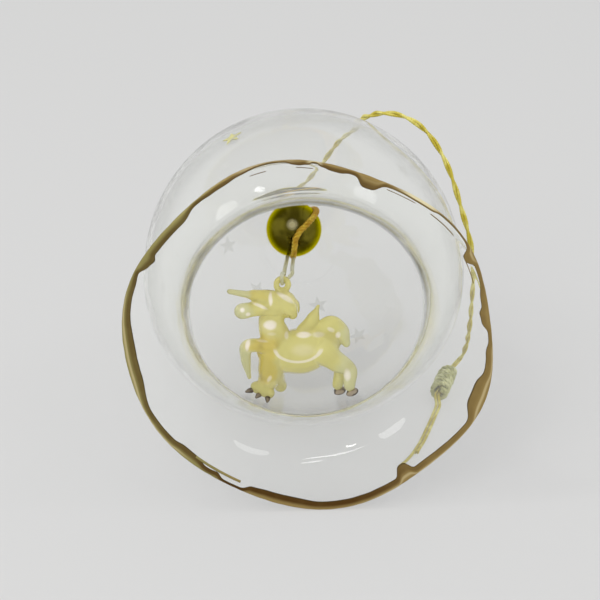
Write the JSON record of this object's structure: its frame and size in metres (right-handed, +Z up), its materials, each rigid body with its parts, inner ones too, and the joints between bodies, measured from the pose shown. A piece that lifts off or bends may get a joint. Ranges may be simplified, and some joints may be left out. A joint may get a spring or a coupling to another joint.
{
  "type": "glass bell ornament",
  "caption": "hanging glass bell ornament, globe with a fluted gilded lip, gilt stars, a mirror bead and a lampworked glass animal as clapper on a metallic cord",
  "frame": {"origin": "on the table under the middle of the lying bell, without its cord", "axes": "+Z up, the mouth faces -Y and the crown +Y, the hanger falls on the +X side"},
  "size_m": [0.0716, 0.0817, 0.0724],
  "materials": {
    "clear_glass": "clear blown glass, polished",
    "lip_gilt": "fired gilding, uneven and worn",
    "star_gilt": "fired gilding",
    "bead_mirror": "gold mirror glass",
    "metallic_cord": "twisted metallic thread",
    "yellow_glass": "translucent lampworked glass",
    "dark_glass": "dark glass tips"
  },
  "bodies": {
    "bell": {"glass_bell": "clear_glass", "rim_gilding": "lip_gilt", "star_1": "star_gilt", "star_2": "star_gilt", "star_3": "star_gilt", "star_4": "star_gilt", "star_5": "star_gilt", "star_6": "star_gilt", "star_7": "star_gilt", "star_8": "star_gilt", "star_9": "star_gilt", "hanger_cord": "metallic_cord", "barrel_knot": "metallic_cord", "tail_long": "metallic_cord", "tail_short": "metallic_cord"},
    "bead": {"stopper_bead": "bead_mirror", "bore_strand": "metallic_cord", "bead_lashing": "metallic_cord"},
    "strands": {"clapper_loop": "metallic_cord"},
    "figure": {"glass_animal": "yellow_glass", "fore_claw_1": "dark_glass", "fore_claw_2": "dark_glass", "fore_claw_3": "dark_glass", "near_hind_hoof": "dark_glass", "far_hind_hoof": "dark_glass"}
  },
  "joints": [
    {"name": "clapper_turn", "type": "hinge", "parent": "bell", "child": "bead", "pos_m": [0.00025, 0.02959, 0.03084], "axis": [0, 0.9972, -0.0749], "range_deg": [-180, 180]},
    {"name": "strand_swing", "type": "hinge", "parent": "bead", "child": "strands", "pos_m": [0.00025, 0.02336, 0.0313], "axis": [-1, 0, 0], "range_deg": [0, 28]},
    {"name": "figure_swing", "type": "hinge", "parent": "strands", "child": "figure", "pos_m": [-0.00405, 0.00536, 0.02856], "axis": [-1, 0, 0], "range_deg": [0, 90]}
  ]
}
